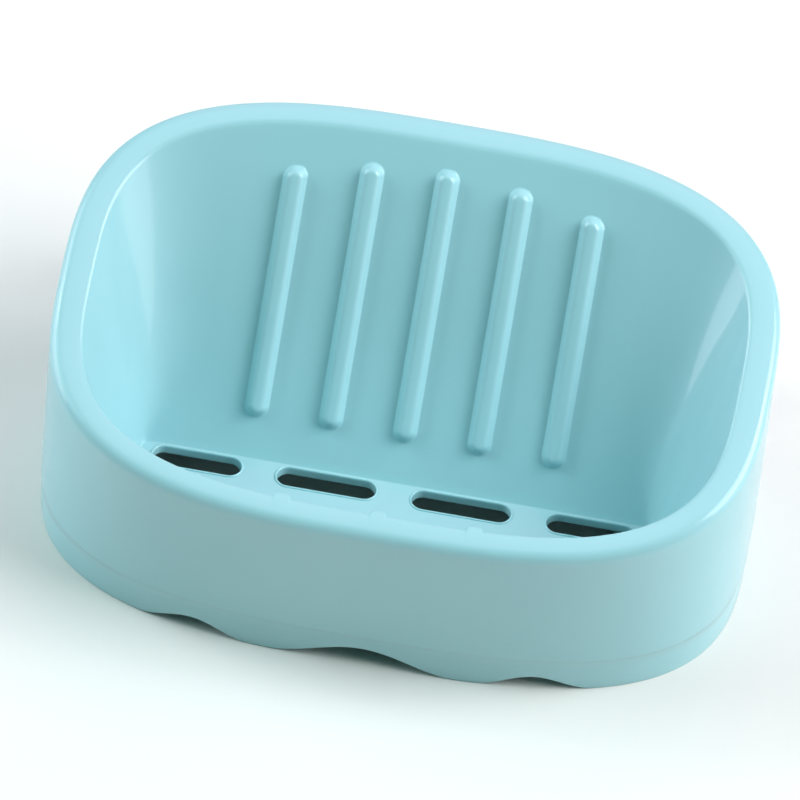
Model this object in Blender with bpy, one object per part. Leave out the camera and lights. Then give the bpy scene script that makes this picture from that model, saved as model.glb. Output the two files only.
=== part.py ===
"""Wall soap dish: one moulded dish that hangs on two suction cups with studs, washers and thumb nuts.

Metres, +Z up. The origin lies on the wall, midway between the two cups. The wall is the plane Y = 0,
and the dish stands out from it towards -Y, with its width along X.
"""
import math

import bmesh
import bpy
from mathutils import Vector

# Dish, outside
WIDTH = 0.135
DEPTH = 0.085
BACK_HEIGHT = 0.062
FRONT_HEIGHT = 0.036
RIM_WIDTH = 0.0048
RIM_THICKNESS = 0.002
SKIRT_WALL = 0.0018
SKIRT_DRAFT = 0.0003
RIM_OUTER_ROUND = 0.0018
RIM_INNER_ROUND = 0.0009
OUTLINE_POWER = 3.0
MOUTH_POWER = 3.2

# Band round the skirt's foot
BAND_HEIGHT = 0.0078
BAND_STEP = 0.00025
BAND_BEVEL = 0.0005

# Waves in the front of the foot: place along X, half width and height of each arch
MIDDLE_ARCH_HALF_WIDTH = 0.0185
MIDDLE_ARCH_HEIGHT = 0.0044
SIDE_ARCH_PLACE = 0.0325
SIDE_ARCH_HALF_WIDTH = 0.0112
SIDE_ARCH_HEIGHT = 0.0031

# Bowl
FLOOR_HEIGHT = 0.0125
FLOOR_THICKNESS = 0.0018
BOWL_WALL = 0.0017
FLOOR_HALF_WIDTH = 0.0487
FLOOR_BACK = -0.0064
FLOOR_FRONT_DRAFT = 0.0022
FLOOR_BACK_POWER = 20.0
FLOOR_FRONT_POWER = 4.5
FLOOR_FILLET = 0.0004

# Ribs up the sloping back: ends are measured up the slope from the floor
RIB_COUNT = 5
RIB_PITCH = 0.0142
RIB_HALF_WIDTH = 0.00235
RIB_PROUD = 0.002
RIB_BASE_DEPTH = 0.0007
RIB_FOOT = 0.0079
RIB_TOP_MARGIN = 0.0052
RIB_ARCH_DROP = 0.0011
RIB_ARCH_POWER = 1.5

# Short ribs inside the front wall
FRONT_RIB_COUNT = 3
FRONT_RIB_PITCH = 0.018
FRONT_RIB_HALF_WIDTH = 0.0016
FRONT_RIB_PROUD = 0.0016
FRONT_RIB_TOP_MARGIN = 0.0001
FRONT_RIB_FOOT = 0.004

# Drain slots at the back of the floor: centre and half length of the inner and the outer pair
SLOT_PLACE = -0.0095
SLOT_HALF_WIDTH = 0.00225
SLOT_CHAMFER = 0.0004
INNER_SLOT_CENTRE = 0.0129
INNER_SLOT_HALF_LENGTH = 0.0094
OUTER_SLOT_CENTRE = 0.0377
OUTER_SLOT_HALF_LENGTH = 0.0084

# Wall fixings: each cup's axis is set in from the end of the dish
CUP_END_INSET = 0.0355
CUP_AXIS_HEIGHT = 0.026
CUP_RADIUS = 0.018
CUP_HEIGHT = 0.0097
CUP_LIP = 0.0007
CUP_SEAL_WIDTH = 0.0016
CUP_WEB = 0.0026
CUP_HOLLOW = 0.0036
HUB_RADIUS = 0.006
HUB_LENGTH = 0.0027
STUD_RADIUS = 0.00285
STUD_HEAD_RADIUS = 0.0042
STUD_HEAD_THICKNESS = 0.0015
STUD_TIP_CHAMFER = 0.0005
STUD_SPARE = 0.0013
WASHER_RADIUS = 0.0078
WASHER_THICKNESS = 0.0012
NUT_RADIUS = 0.0076
NUT_LOBE = 0.0007
NUT_LOBES = 6
NUT_HEIGHT = 0.007
NUT_COLLAR_RADIUS = 0.0062
NUT_COLLAR_HEIGHT = 0.0014
NUT_CHAMFER = 0.0006
BOSS_RADIUS = 0.009
BOSS_PROUD = 0.0004

# Clearances
SEAT_GAP = 0.0003
CUT_OVERRUN = 0.002

# Turn on each side of a point over which a wall's direction is measured, in radians
NORMAL_TURN = 0.02

# Counts
RING_QUARTER = 30
OUTLINE_STEPS = 4000
TURN_SEGMENTS = 36
RIB_ARC_STEPS = 8
RIB_END_STEPS = 4
SLOT_END_STEPS = 8
FILLET_STEPS = 3

# Worked out from the sizes above
HALF_WIDTH = WIDTH / 2
HALF_DEPTH = DEPTH / 2
FLOOR_FRONT = -HALF_DEPTH + RIM_WIDTH + FLOOR_FRONT_DRAFT
CUP_PLACE = HALF_WIDTH - CUP_END_INSET
WALL_STANDOFF = CUP_HEIGHT + SEAT_GAP
DISH_LOCATION = (0, -(HALF_DEPTH + WALL_STANDOFF), -CUP_AXIS_HEIGHT)
BORE_RADIUS = STUD_RADIUS + SEAT_GAP

COLOURS = {
    "dish": ((0.25, 0.62, 0.66, 1.0), 0.32),
    "cup": ((0.80, 0.86, 0.88, 1.0), 0.15),
    "stud": ((0.86, 0.87, 0.88, 1.0), 0.35),
    "nut": ((0.90, 0.91, 0.91, 1.0), 0.35),
    "washer": ((0.90, 0.91, 0.91, 1.0), 0.40),
}


def clear_scene():
    """Remove what the file opens with."""
    for thing in list(bpy.data.objects):
        bpy.data.objects.remove(thing, do_unlink=True)


def plastic(slot):
    """Material of one slot: a Principled plastic in the slot's colour."""
    colour, roughness = COLOURS[slot]
    material = bpy.data.materials.get(slot) or bpy.data.materials.new(slot)
    material.use_nodes = True
    shader = material.node_tree.nodes["Principled BSDF"]
    shader.inputs["Base Color"].default_value = colour
    shader.inputs["Roughness"].default_value = roughness
    shader.inputs["Metallic"].default_value = 0
    material.diffuse_color = colour
    return material


def skin(name, rings, closed=False):
    """Object whose surface runs over rings with the same number of points.

    With closed set, the last ring joins the first, as round a tube. Otherwise both ends are capped.
    """
    mesh = bmesh.new()
    levels = [[mesh.verts.new(point) for point in ring] for ring in rings]
    count = len(levels[0])
    pairs = list(zip(levels, levels[1:]))
    if closed:
        pairs.append((levels[-1], levels[0]))
    for low, high in pairs:
        for k in range(count):
            after = (k + 1) % count
            mesh.faces.new((low[k], low[after], high[after], high[k]))
    if not closed:
        mesh.faces.new(list(reversed(levels[0])))
        mesh.faces.new(levels[-1])
    bmesh.ops.recalc_face_normals(mesh, faces=mesh.faces)
    data = bpy.data.meshes.new(name)
    mesh.to_mesh(data)
    mesh.free()
    thing = bpy.data.objects.new(name, data)
    bpy.context.scene.collection.objects.link(thing)
    return thing


def finish(thing, slot, sharp_degrees=35):
    """Give a piece its material and shade its round sides smooth."""
    thing.data.materials.append(plastic(slot))
    thing.data.shade_smooth()
    thing.data.set_sharp_from_angle(angle=math.radians(sharp_degrees))


def cutter(thing):
    """Mark an object that only cuts or adds to another."""
    thing.hide_render = True
    thing.display_type = "WIRE"
    return thing


def combine(target, tools, operation):
    """Boolean the tools into the target, one after another."""
    for tool in tools:
        change = target.modifiers.new(tool.name, "BOOLEAN")
        change.operation = operation
        change.solver = "EXACT"
        change.object = tool


def outline_point(half_x, half_y, power, angle):
    """Point of a rounded oblong at a running angle, which isn't the polar one."""
    across, along = math.cos(angle), math.sin(angle)
    x = half_x * math.copysign(abs(across) ** (2 / power), across)
    y = half_y * math.copysign(abs(along) ** (2 / power), along)
    return x, y


def outline_y(x, half_x, half_y, power):
    """Back edge of a rounded oblong at a place along X."""
    return half_y * max(0, 1 - abs(x / half_x) ** power) ** (1 / power)


def even_angles():
    """Running angles that space the outer outline evenly, the same in each quarter."""
    turns = [k / OUTLINE_STEPS * math.pi / 2 for k in range(OUTLINE_STEPS + 1)]
    points = [outline_point(HALF_WIDTH, HALF_DEPTH, OUTLINE_POWER, turn) for turn in turns]
    lengths = [0]
    for before, after in zip(points, points[1:]):
        lengths.append(lengths[-1] + math.dist(before, after))
    quarter = []
    k = 0
    for step in range(RING_QUARTER):
        wanted = lengths[-1] * step / RING_QUARTER
        while lengths[k + 1] < wanted:
            k += 1
        share = (wanted - lengths[k]) / (lengths[k + 1] - lengths[k])
        quarter.append((k + share) / OUTLINE_STEPS * math.pi / 2)
    half = quarter + [math.pi / 2] + [math.pi - angle for angle in reversed(quarter[1:])]
    return half + [angle + math.pi for angle in half]


ANGLES = even_angles()


def rim_height(y):
    """Height of the sloping rim's plane over a place along Y."""
    return FRONT_HEIGHT + (BACK_HEIGHT - FRONT_HEIGHT) * (y + HALF_DEPTH) / DEPTH


def arch(x, place, half_width, height):
    """Height of one smooth arch over a place along X."""
    reach = abs(x - place)
    if reach >= half_width:
        return 0
    return height * (1 + math.cos(math.pi * reach / half_width)) / 2


def foot_height(x, y):
    """Height of the skirt's foot, which is cut into three arches at the front."""
    if y > 0:
        return 0
    middle = arch(x, 0, MIDDLE_ARCH_HALF_WIDTH, MIDDLE_ARCH_HEIGHT)
    return middle + arch(abs(x), SIDE_ARCH_PLACE, SIDE_ARCH_HALF_WIDTH, SIDE_ARCH_HEIGHT)


def draft_at(height):
    """How far the skirt's outside leans in at a height, from the front rim's height down."""
    return SKIRT_DRAFT * (1 - height / FRONT_HEIGHT)


def skirt_point(angle, inset):
    """Place in plan of the skirt at an inset from its widest outline."""
    return outline_point(HALF_WIDTH - inset, HALF_DEPTH - inset, OUTLINE_POWER, angle)


def mouth_point(angle):
    """Inner edge of the rim."""
    x, y = outline_point(HALF_WIDTH - RIM_WIDTH, HALF_DEPTH - RIM_WIDTH, MOUTH_POWER, angle)
    return Vector((x, y, rim_height(y)))


def floor_point(angle, inset=0):
    """Edge of the bowl's floor."""
    half_y = (FLOOR_BACK - FLOOR_FRONT) / 2
    power = FLOOR_BACK_POWER if math.sin(angle) > 0 else FLOOR_FRONT_POWER
    x, y = outline_point(FLOOR_HALF_WIDTH - inset, half_y - inset, power, angle)
    return Vector((x, y + (FLOOR_BACK + FLOOR_FRONT) / 2, FLOOR_HEIGHT))


def wall_normal(angle):
    """Direction out of the bowl's wall, away from the soap, along one ruled line."""
    before, after = angle - NORMAL_TURN, angle + NORMAL_TURN
    along = mouth_point(after) - mouth_point(before) + floor_point(after) - floor_point(before)
    return (mouth_point(angle) - floor_point(angle)).cross(along).normalized() * -1


def on_line(start, end, height_of):
    """Point where the line through two points meets the surface at height_of(y)."""
    run = end - start
    gap_start = start.z - height_of(start.y)
    gap_run = run.z - (height_of(start.y + run.y) - height_of(start.y))
    return start - run * (gap_start / gap_run)


def outer_rings():
    """Rings up the skirt's outside and over the rim's outer round."""
    levels = (
        (0, SKIRT_DRAFT + BAND_STEP),
        (BAND_HEIGHT, draft_at(BAND_HEIGHT) + BAND_STEP),
        (BAND_HEIGHT + BAND_BEVEL, draft_at(BAND_HEIGHT + BAND_BEVEL)),
    )
    rings = []
    for height, inset in levels:
        ring = []
        for angle in ANGLES:
            x, y = skirt_point(angle, inset)
            ring.append((x, y, height or foot_height(x, y)))
        rings.append(ring)
    for step in range(FILLET_STEPS + 1):
        turn = math.pi / 2 * step / FILLET_STEPS
        inset = RIM_OUTER_ROUND * (1 - math.cos(turn))
        drop = RIM_OUTER_ROUND * (1 - math.sin(turn))
        ring = []
        for angle in ANGLES:
            x, y = skirt_point(angle, inset)
            ring.append((x, y, rim_height(y) - drop))
        rings.append(ring)
    return rings


def bowl_rings():
    """Rings over the rim's inner round, down the bowl's wall and round into the floor."""
    rings = []
    for step in range(FILLET_STEPS + 1):
        share = step / FILLET_STEPS
        ring = []
        for angle in ANGLES:
            edge = mouth_point(angle)
            down = (floor_point(angle) - edge).normalized()
            inward = Vector((edge.x, edge.y, 0)).normalized() * -1
            back = edge - inward * RIM_INNER_ROUND
            back.z = rim_height(back.y)
            low = edge + down * RIM_INNER_ROUND
            ring.append(back * (1 - share) ** 2 + edge * (2 * share * (1 - share)) + low * share ** 2)
        rings.append(ring)
    for step in range(FILLET_STEPS + 1):
        share = step / FILLET_STEPS
        ring = []
        for angle in ANGLES:
            edge = floor_point(angle)
            high = edge + (mouth_point(angle) - edge).normalized() * FLOOR_FILLET
            inner = floor_point(angle, FLOOR_FILLET)
            ring.append(high * (1 - share) ** 2 + edge * (2 * share * (1 - share)) + inner * share ** 2)
        rings.append(ring)
    return rings


def under_rings():
    """Rings from the floor's underside up behind the bowl's wall, and down the skirt's inside."""
    floor_ring, crest_ring, skirt_top, skirt_foot = [], [], [], []
    for angle in ANGLES:
        normal = wall_normal(angle) * BOWL_WALL
        high = mouth_point(angle) + normal
        low = floor_point(angle) + normal
        floor_ring.append(on_line(low, high, lambda y: FLOOR_HEIGHT - FLOOR_THICKNESS))
        crest_ring.append(on_line(low, high, lambda y: rim_height(y) - RIM_THICKNESS))
        x, y = skirt_point(angle, SKIRT_WALL)
        skirt_top.append((x, y, rim_height(y) - RIM_THICKNESS))
        x, y = skirt_point(angle, SKIRT_WALL + SKIRT_DRAFT)
        skirt_foot.append((x, y, foot_height(x, y)))
    return floor_ring, crest_ring, skirt_top, skirt_foot


def shell_body():
    """Skirt, rim and bowl as one wall folded over, open underneath."""
    outside = outer_rings() + bowl_rings()
    floor_ring, crest_ring, skirt_top, skirt_foot = under_rings()
    inside = [skirt_foot, skirt_top, crest_ring, floor_ring]
    return skin("dish_shell", list(reversed(inside)) + outside)


def ramp_point(x, distance):
    """Point on the sloping back, at a distance up the slope from the floor, and the slope's axes."""
    half_y = (FLOOR_BACK - FLOOR_FRONT) / 2
    foot_y = outline_y(x, FLOOR_HALF_WIDTH, half_y, FLOOR_BACK_POWER) + (FLOOR_BACK + FLOOR_FRONT) / 2
    top_y = outline_y(x, HALF_WIDTH - RIM_WIDTH, HALF_DEPTH - RIM_WIDTH, MOUTH_POWER)
    foot = Vector((x, foot_y, FLOOR_HEIGHT))
    top = Vector((x, top_y, rim_height(top_y)))
    up = (top - foot).normalized()
    out = Vector((0, -up.z, up.y))
    return foot + up * distance, out, (top - foot).length


def front_point(x, depth):
    """Point on the front wall's inside, at a depth below the rim, and the way out of the wall."""
    half_y = (FLOOR_BACK - FLOOR_FRONT) / 2
    foot_y = (FLOOR_BACK + FLOOR_FRONT) / 2 - outline_y(x, FLOOR_HALF_WIDTH, half_y, FLOOR_FRONT_POWER)
    top_y = -outline_y(x, HALF_WIDTH - RIM_WIDTH, HALF_DEPTH - RIM_WIDTH, MOUTH_POWER)
    top = Vector((x, top_y, rim_height(top_y)))
    down = (Vector((x, foot_y, FLOOR_HEIGHT)) - top).normalized()
    out = Vector((0, -down.z, down.y))
    return top + down * depth, out, (FLOOR_HEIGHT - top.z) / down.z


def pad(name, place_at, start, end, half_width, proud):
    """Long half-round pad with round ends, from start to end along place_at."""
    stations = []
    for step in range(1, RIB_END_STEPS + 1):
        turn = math.pi / 2 * step / RIB_END_STEPS
        stations.append((start + half_width * (1 - math.cos(turn)), math.sin(turn)))
    for step in range(RIB_END_STEPS, 0, -1):
        turn = math.pi / 2 * step / RIB_END_STEPS
        stations.append((end - half_width * (1 - math.cos(turn)), math.sin(turn)))
    rings = []
    for distance, swell in stations:
        middle, out, whole = place_at(distance)
        ring = [middle + Vector((half_width * swell, 0, 0)) - out * RIB_BASE_DEPTH]
        for k in range(RIB_ARC_STEPS + 1):
            turn = math.pi * k / RIB_ARC_STEPS
            side = Vector((half_width * swell * math.cos(turn), 0, 0))
            ring.append(middle + side + out * (proud * swell * math.sin(turn)))
        ring.append(middle - Vector((half_width * swell, 0, 0)) - out * RIB_BASE_DEPTH)
        rings.append(ring)
    return cutter(skin(name, rings))


def back_ribs():
    """Ribs up the sloping back, with tops on a shallow arch."""
    ribs = []
    for k in range(RIB_COUNT):
        order = k - (RIB_COUNT - 1) / 2
        x = order * RIB_PITCH
        whole = ramp_point(x, 0)[2]
        top = whole - RIB_TOP_MARGIN - RIB_ARCH_DROP * abs(order) ** RIB_ARCH_POWER
        ribs.append(pad(f"rib_form_{k + 1}", lambda d, x=x: ramp_point(x, d), RIB_FOOT, top,
                        RIB_HALF_WIDTH, RIB_PROUD))
    return ribs


def front_ribs():
    """Short ribs down the inside of the front wall."""
    ribs = []
    for k in range(FRONT_RIB_COUNT):
        x = (k - (FRONT_RIB_COUNT - 1) / 2) * FRONT_RIB_PITCH
        end = front_point(x, 0)[2] - FRONT_RIB_FOOT
        ribs.append(pad(f"front_rib_form_{k + 1}", lambda d, x=x: front_point(x, d),
                        FRONT_RIB_TOP_MARGIN, end, FRONT_RIB_HALF_WIDTH, FRONT_RIB_PROUD))
    return ribs


def stadium(centre, half_length, half_width):
    """Points of a slot's outline in plan."""
    points = []
    for side in (1, -1):
        for k in range(SLOT_END_STEPS + 1):
            turn = math.pi * (k / SLOT_END_STEPS - 1 / 2)
            reach = half_length - SLOT_HALF_WIDTH + half_width * math.cos(turn)
            points.append((centre[0] + side * reach, centre[1] + side * half_width * math.sin(turn)))
    return points


def slot_forms():
    """Cutters for the four drain slots, with a chamfer at the floor."""
    forms = []
    slots = ((INNER_SLOT_CENTRE, INNER_SLOT_HALF_LENGTH), (OUTER_SLOT_CENTRE, OUTER_SLOT_HALF_LENGTH))
    for side in (-1, 1):
        for centre, half_length in slots:
            place = (side * centre, SLOT_PLACE)
            levels = (
                (FLOOR_HEIGHT - FLOOR_THICKNESS - CUT_OVERRUN, 0),
                (FLOOR_HEIGHT - SLOT_CHAMFER, 0),
                (FLOOR_HEIGHT, SLOT_CHAMFER),
                (FLOOR_HEIGHT + CUT_OVERRUN, SLOT_CHAMFER),
            )
            rings = []
            for height, flare in levels:
                outline = stadium(place, half_length, SLOT_HALF_WIDTH + flare)
                rings.append([(x, y, height) for x, y in outline])
            forms.append(cutter(skin(f"slot_form_{len(forms) + 1}", rings)))
    return forms


def boss_front():
    """Flat inner face of the bosses, a little proud of the skirt's inside all round them."""
    inset = SKIRT_WALL + SKIRT_DRAFT
    reach = CUP_PLACE + BOSS_RADIUS
    return outline_y(reach, HALF_WIDTH - inset, HALF_DEPTH - inset, OUTLINE_POWER) - BOSS_PROUD


def boss_forms():
    """Round bosses on the skirt's back, flat inside and outside, one for each cup."""
    forms = []
    for side in (-1, 1):
        rings = []
        for y in (boss_front(), HALF_DEPTH):
            ring = []
            for k in range(TURN_SEGMENTS):
                turn = 2 * math.pi * k / TURN_SEGMENTS
                x = side * CUP_PLACE + BOSS_RADIUS * math.cos(turn)
                ring.append((x, y, CUP_AXIS_HEIGHT + BOSS_RADIUS * math.sin(turn)))
            rings.append(ring)
        forms.append(cutter(skin(f"boss_form_{len(forms) + 1}", rings)))
    return forms


def notch_forms():
    """Cutters for the notches that drop over the studs, open at the skirt's foot."""
    forms = []
    for side in (-1, 1):
        profile = [(side * CUP_PLACE + BORE_RADIUS, -CUT_OVERRUN)]
        for k in range(SLOT_END_STEPS * 2 + 1):
            turn = math.pi * k / (SLOT_END_STEPS * 2)
            x = side * CUP_PLACE + BORE_RADIUS * math.cos(turn)
            profile.append((x, CUP_AXIS_HEIGHT + BORE_RADIUS * math.sin(turn)))
        profile.append((side * CUP_PLACE - BORE_RADIUS, -CUT_OVERRUN))
        ends = (boss_front() - CUT_OVERRUN, HALF_DEPTH + CUT_OVERRUN)
        rings = [[(x, y, z) for x, z in profile] for y in ends]
        forms.append(cutter(skin(f"notch_form_{len(forms) + 1}", rings)))
    return forms


def dish_shell():
    """The moulded dish."""
    shell = shell_body()
    added = back_ribs() + front_ribs() + boss_forms()
    removed = slot_forms() + notch_forms()
    combine(shell, added, "UNION")
    combine(shell, removed, "DIFFERENCE")
    finish(shell, "dish")
    for thing in [shell] + added + removed:
        thing.location = DISH_LOCATION
    return shell


def turned(name, profile):
    """Object turned about Z from a profile of radius and height, closed at the axis or on itself."""
    on_axis = profile[0][0] == 0
    body = profile[1:-1] if on_axis else profile
    rings = []
    for radius, height in body:
        turns = [2 * math.pi * k / TURN_SEGMENTS for k in range(TURN_SEGMENTS)]
        rings.append([(radius * math.cos(turn), radius * math.sin(turn), height) for turn in turns])
    return skin(name, rings, closed=not on_axis)


def place_fixing(thing, side, slot):
    """Set a fixing's piece on its cup's axis, with its own +Z out from the wall."""
    thing.location = (side * CUP_PLACE, 0, 0)
    thing.rotation_euler = (math.pi / 2, 0, 0)
    finish(thing, slot)


POCKET_FLOOR = CUP_HOLLOW + CUP_WEB
HEAD_START = POCKET_FLOOR + SEAT_GAP
HEAD_END = HEAD_START + STUD_HEAD_THICKNESS
POCKET_TOP = HEAD_END + SEAT_GAP
WASHER_START = WALL_STANDOFF + (HALF_DEPTH - boss_front()) + SEAT_GAP
NUT_START = WASHER_START + WASHER_THICKNESS + SEAT_GAP
STUD_END = NUT_START + NUT_HEIGHT + STUD_SPARE


def suction_cup(name, side):
    """Soft cup with a flat sealing ring, a hollow face and a hub that holds the stud's head."""
    seal = CUP_RADIUS - CUP_SEAL_WIDTH
    slope = CUP_RADIUS - HUB_RADIUS
    shoulder = CUP_HEIGHT - HUB_LENGTH
    outside_shares = ((0.25, 0.30), (0.50, 0.56), (0.75, 0.79))
    hollow_shares = ((0.85, 0.38), (0.66, 0.68), (0.40, 0.90))
    profile = [(0, CUP_HOLLOW)]
    profile += [(seal * far, CUP_HOLLOW * deep) for far, deep in reversed(hollow_shares)]
    profile += [(seal, 0), (CUP_RADIUS, 0), (CUP_RADIUS, CUP_LIP)]
    rise = shoulder - CUP_LIP
    profile += [(CUP_RADIUS - slope * far, CUP_LIP + rise * high) for far, high in outside_shares]
    profile += [(HUB_RADIUS, shoulder), (HUB_RADIUS, CUP_HEIGHT), (BORE_RADIUS, CUP_HEIGHT)]
    profile += [(BORE_RADIUS, POCKET_TOP), (STUD_HEAD_RADIUS + SEAT_GAP, POCKET_TOP)]
    profile += [(STUD_HEAD_RADIUS + SEAT_GAP, POCKET_FLOOR), (0, POCKET_FLOOR)]
    place_fixing(turned(name, profile), side, "cup")


def cup_stud(name, side):
    """Stud with a flat head inside the cup's hub."""
    profile = [(0, HEAD_START), (STUD_HEAD_RADIUS, HEAD_START), (STUD_HEAD_RADIUS, HEAD_END)]
    profile += [(STUD_RADIUS, HEAD_END), (STUD_RADIUS, STUD_END - STUD_TIP_CHAMFER)]
    profile += [(STUD_RADIUS - STUD_TIP_CHAMFER, STUD_END), (0, STUD_END)]
    place_fixing(turned(name, profile), side, "stud")


def nut_washer(name, side):
    """Flat washer between the boss and the nut."""
    end = WASHER_START + WASHER_THICKNESS
    profile = [(BORE_RADIUS, WASHER_START), (WASHER_RADIUS, WASHER_START)]
    profile += [(WASHER_RADIUS, end), (BORE_RADIUS, end)]
    place_fixing(turned(name, profile), side, "washer")


def thumb_nut(name, side):
    """Lobed nut, turned by the fingers, with a round collar against the washer."""
    collar_end = NUT_START + NUT_COLLAR_HEIGHT
    nut_end = NUT_START + NUT_HEIGHT
    levels = (
        (BORE_RADIUS, 0, NUT_START),
        (NUT_COLLAR_RADIUS, 0, NUT_START),
        (NUT_COLLAR_RADIUS, 0, collar_end),
        (NUT_RADIUS - NUT_CHAMFER, NUT_LOBE, collar_end),
        (NUT_RADIUS, NUT_LOBE, collar_end + NUT_CHAMFER),
        (NUT_RADIUS, NUT_LOBE, nut_end - NUT_CHAMFER),
        (NUT_RADIUS - NUT_CHAMFER, NUT_LOBE, nut_end),
        (BORE_RADIUS, 0, nut_end),
    )
    rings = []
    for radius, lobe, height in levels:
        ring = []
        for k in range(TURN_SEGMENTS):
            turn = 2 * math.pi * k / TURN_SEGMENTS
            reach = radius - lobe * (1 - math.cos(NUT_LOBES * turn)) / 2
            ring.append((reach * math.cos(turn), reach * math.sin(turn), height))
        rings.append(ring)
    place_fixing(skin(name, rings, closed=True), side, "nut")


def main():
    clear_scene()
    dish_shell()
    for side, hand in ((-1, "left"), (1, "right")):
        suction_cup(f"suction_cup_{hand}", side)
        cup_stud(f"cup_stud_{hand}", side)
        nut_washer(f"nut_washer_{hand}", side)
        thumb_nut(f"thumb_nut_{hand}", side)


main()
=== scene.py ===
"""Looks of the wall soap dish: fine surfaces, finishes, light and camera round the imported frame.

Metres, +Z up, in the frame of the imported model. The dish's own surfaces are worked out in a frame of
its own, centred on its outline in plan, with its feet at height zero, and shifted into place at the end.
"""
import math
from functools import partial

import bmesh
import bpy
import numpy as np
from mathutils import Matrix, Vector
from mathutils.geometry import area_tri, delaunay_2d_cdt


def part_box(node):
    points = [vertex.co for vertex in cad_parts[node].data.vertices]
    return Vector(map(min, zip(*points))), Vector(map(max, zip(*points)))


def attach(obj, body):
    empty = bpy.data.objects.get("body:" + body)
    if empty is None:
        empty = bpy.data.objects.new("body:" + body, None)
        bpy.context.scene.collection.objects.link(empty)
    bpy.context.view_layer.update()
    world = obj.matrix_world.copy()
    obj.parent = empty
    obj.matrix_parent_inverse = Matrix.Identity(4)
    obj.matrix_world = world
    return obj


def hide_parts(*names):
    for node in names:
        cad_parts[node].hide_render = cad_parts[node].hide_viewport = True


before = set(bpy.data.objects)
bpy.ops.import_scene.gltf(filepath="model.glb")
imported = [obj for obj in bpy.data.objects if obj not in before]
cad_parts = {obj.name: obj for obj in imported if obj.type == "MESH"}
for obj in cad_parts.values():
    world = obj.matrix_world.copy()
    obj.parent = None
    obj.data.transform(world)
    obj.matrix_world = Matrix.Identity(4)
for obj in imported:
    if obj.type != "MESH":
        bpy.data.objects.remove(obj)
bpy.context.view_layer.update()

# Places and overall sizes, from the frame
DISH_LOW, DISH_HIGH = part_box("dish_shell")
DISH_PLACE = Vector(((DISH_LOW.x + DISH_HIGH.x) / 2, (DISH_LOW.y + DISH_HIGH.y) / 2, DISH_LOW.z))
HALF_WIDTH = (DISH_HIGH.x - DISH_LOW.x) / 2
HALF_DEPTH = (DISH_HIGH.y - DISH_LOW.y) / 2

# Dish, outside
BACK_HEIGHT = 0.062
FRONT_HEIGHT = 0.036
RIM_WIDTH = 0.0048
RIM_SIDE_WIDTH = 0.006
RIM_THICKNESS = 0.002
SKIRT_WALL = 0.0018
SKIRT_DRAFT = 0.0003
RIM_OUTER_ROUND = 0.0018
RIM_INNER_ROUND = 0.0007
RIM_CROWN_DEGREES = 6
FOOT_ROUND = 0.0003
OUTLINE_POWER = 3.0
MOUTH_POWER = 3.2
BAND_HEIGHT = 0.0078
BAND_STEP = 0.00025
BAND_BEVEL = 0.0004
MIDDLE_ARCH_HALF_WIDTH = 0.0185
MIDDLE_ARCH_HEIGHT = 0.0044
SIDE_ARCH_PLACE = 0.0325
SIDE_ARCH_HALF_WIDTH = 0.0112
SIDE_ARCH_HEIGHT = 0.0031

# Bowl
FLOOR_HEIGHT = 0.0125
FLOOR_THICKNESS = 0.0018
BOWL_WALL = 0.0017
FLOOR_HALF_WIDTH = 0.0487
FLOOR_BACK = -0.0064
FLOOR_FRONT_DRAFT = 0.0022
FLOOR_FRONT = -HALF_DEPTH + RIM_WIDTH + FLOOR_FRONT_DRAFT
FLOOR_BACK_POWER = 30.0
FLOOR_FRONT_POWER = 4.5
FLOOR_FILLET = 0.0002

# Hollow between the sloping back and each side wall: how far along the wall each of its points is
# averaged, most in the middle of the wall's height, and the places along X where that sets in
HOLLOW_REACH = 0.011
HOLLOW_LEAN = 1.15
HOLLOW_FULLNESS = 0.7
HOLLOW_START = 0.032
HOLLOW_END = 0.038
HOLLOW_SIDE_SHARE = 0.3
HOLLOW_LEAST_REACH = 0.00005

# Ribs up the sloping back
RIB_COUNT = 5
RIB_PITCH = 0.0142
RIB_HALF_WIDTH = 0.00228
RIB_PROUD = 0.002
RIB_CROWN_HALF_WIDTH = 0.00128
RIB_SHOULDER = 0.0008
RIB_FILLET = 0.00015
RIB_FOOT = 0.0079
RIB_TOP_MARGIN = 0.0052
RIB_ARCH_DROP = 0.0011
RIB_ARCH_POWER = 1.5

# Short ribs inside the front wall
NUB_COUNT = 3
NUB_PITCH = 0.018
NUB_HALF_WIDTH = 0.0016
NUB_PROUD = 0.00095
NUB_CROWN_HALF_WIDTH = 0.0013
NUB_SHOULDER = 0.0005
NUB_FILLET = 0.0002
NUB_FOOT = 0.004

# Drain slots, the last two as a centre along X and half a length
SLOT_PLACE = -0.0095
SLOT_HALF_WIDTH = 0.00225
SLOT_LIP_WIDTH = 0.0005
SLOT_LIP_HEIGHT = 0.00026
SLOT_LIP_DROP = 0.0003
SLOT_UNDER_ROUND = 0.0002
INNER_SLOT = (0.0129, 0.0094)
OUTER_SLOT = (0.0377, 0.0084)

# Bosses and notches on the skirt's back
BOSS_RADIUS = 0.009
BOSS_PROUD = 0.0004
BOSS_ROUND = 0.0005
NOTCH_BEVEL = 0.0003
BORE_RADIUS = 0.00315
CUT_OVERRUN = 0.002

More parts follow.
